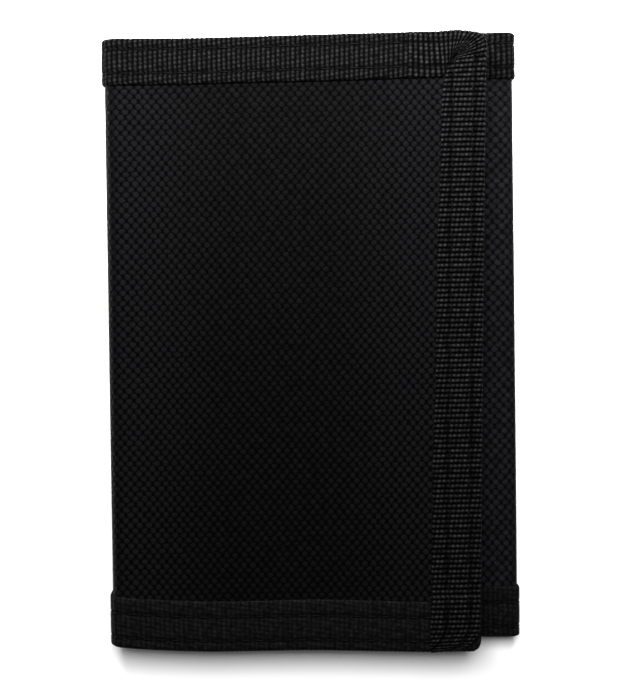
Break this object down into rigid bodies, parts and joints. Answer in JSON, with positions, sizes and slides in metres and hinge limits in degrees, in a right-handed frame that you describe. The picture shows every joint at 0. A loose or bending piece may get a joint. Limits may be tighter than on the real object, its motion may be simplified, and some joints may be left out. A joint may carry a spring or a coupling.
{
  "type": "trifold wallet",
  "caption": "Flat black nylon trifold wallet with taped edges; an outer flap closes over an inner flap with a hook-and-loop patch, around a bill compartment and card pockets",
  "frame": {"origin": "centre of the underside of the shut wallet, lying on its back", "axes": "X across the width from the left fold to the right fold, Y up the height to the open edge of the bill compartment, Z through the thickness, up to the outer flap"},
  "size_m": [0.0818, 0.124, 0.0161],
  "materials": {
    "shell_nylon": "black ballistic nylon, plain weave",
    "lining_nylon": "black coated packcloth nylon",
    "binding_tape": "black ribbed grosgrain tape",
    "hook_patch": "black nylon hook fastener",
    "loop_patch": "black brushed loop fastener",
    "id_window": "clear flexible vinyl"
  },
  "bodies": {
    "back_panel": {"back_shell": "shell_nylon", "back_lining": "lining_nylon", "back_shell_top_tape": "binding_tape", "back_lining_top_tape": "binding_tape", "back_bottom_tape": "binding_tape", "id_pocket_backing": "lining_nylon", "id_window": "id_window", "id_window_frame": "lining_nylon"},
    "left_spine": {"left_spine_shell": "shell_nylon", "left_spine_lining": "lining_nylon", "left_spine_shell_top_tape": "binding_tape", "left_spine_lining_top_tape": "binding_tape", "left_spine_bottom_tape": "binding_tape"},
    "outer_flap": {"outer_flap_shell": "shell_nylon", "outer_flap_lining": "lining_nylon", "outer_flap_shell_top_tape": "binding_tape", "outer_flap_lining_top_tape": "binding_tape", "outer_flap_bottom_tape": "binding_tape", "outer_flap_side_tape": "binding_tape", "flap_pocket": "lining_nylon", "flap_pocket_tape": "binding_tape", "hook_patch": "hook_patch"},
    "right_spine": {"right_spine_shell": "shell_nylon", "right_spine_lining": "lining_nylon", "right_spine_shell_top_tape": "binding_tape", "right_spine_lining_top_tape": "binding_tape", "right_spine_bottom_tape": "binding_tape"},
    "inner_flap": {"inner_flap_shell": "shell_nylon", "inner_flap_lining": "lining_nylon", "inner_flap_shell_top_tape": "binding_tape", "inner_flap_lining_top_tape": "binding_tape", "inner_flap_bottom_tape": "binding_tape", "inner_flap_side_tape": "binding_tape", "card_slot_1": "lining_nylon", "card_slot_2": "lining_nylon", "card_slot_3": "lining_nylon", "card_slot_1_tape": "binding_tape", "card_slot_2_tape": "binding_tape", "card_slot_3_tape": "binding_tape", "loop_patch": "loop_patch"}
  },
  "joints": [
    {"name": "left_spine_fold", "type": "hinge", "parent": "back_panel", "child": "left_spine", "pos_m": [-0.0404, 0, 0.0005], "axis": [0, -1, 0], "range_deg": [0, 90]},
    {"name": "outer_flap_fold", "type": "hinge", "parent": "left_spine", "child": "outer_flap", "pos_m": [-0.0404, 0, 0.0156], "axis": [0, -1, 0], "range_deg": [0, 90]},
    {"name": "right_spine_fold", "type": "hinge", "parent": "back_panel", "child": "right_spine", "pos_m": [0.0404, 0, 0.0005], "axis": [0, 1, 0], "range_deg": [0, 90]},
    {"name": "inner_flap_fold", "type": "hinge", "parent": "right_spine", "child": "inner_flap", "pos_m": [0.0404, 0, 0.00835], "axis": [0, 1, 0], "range_deg": [0, 90]}
  ],
  "couplings": [
    {"joint": "outer_flap_fold", "follows": "left_spine_fold", "ratio": 1},
    {"joint": "right_spine_fold", "follows": "left_spine_fold", "ratio": 0.55},
    {"joint": "inner_flap_fold", "follows": "left_spine_fold", "ratio": 0.55}
  ]
}
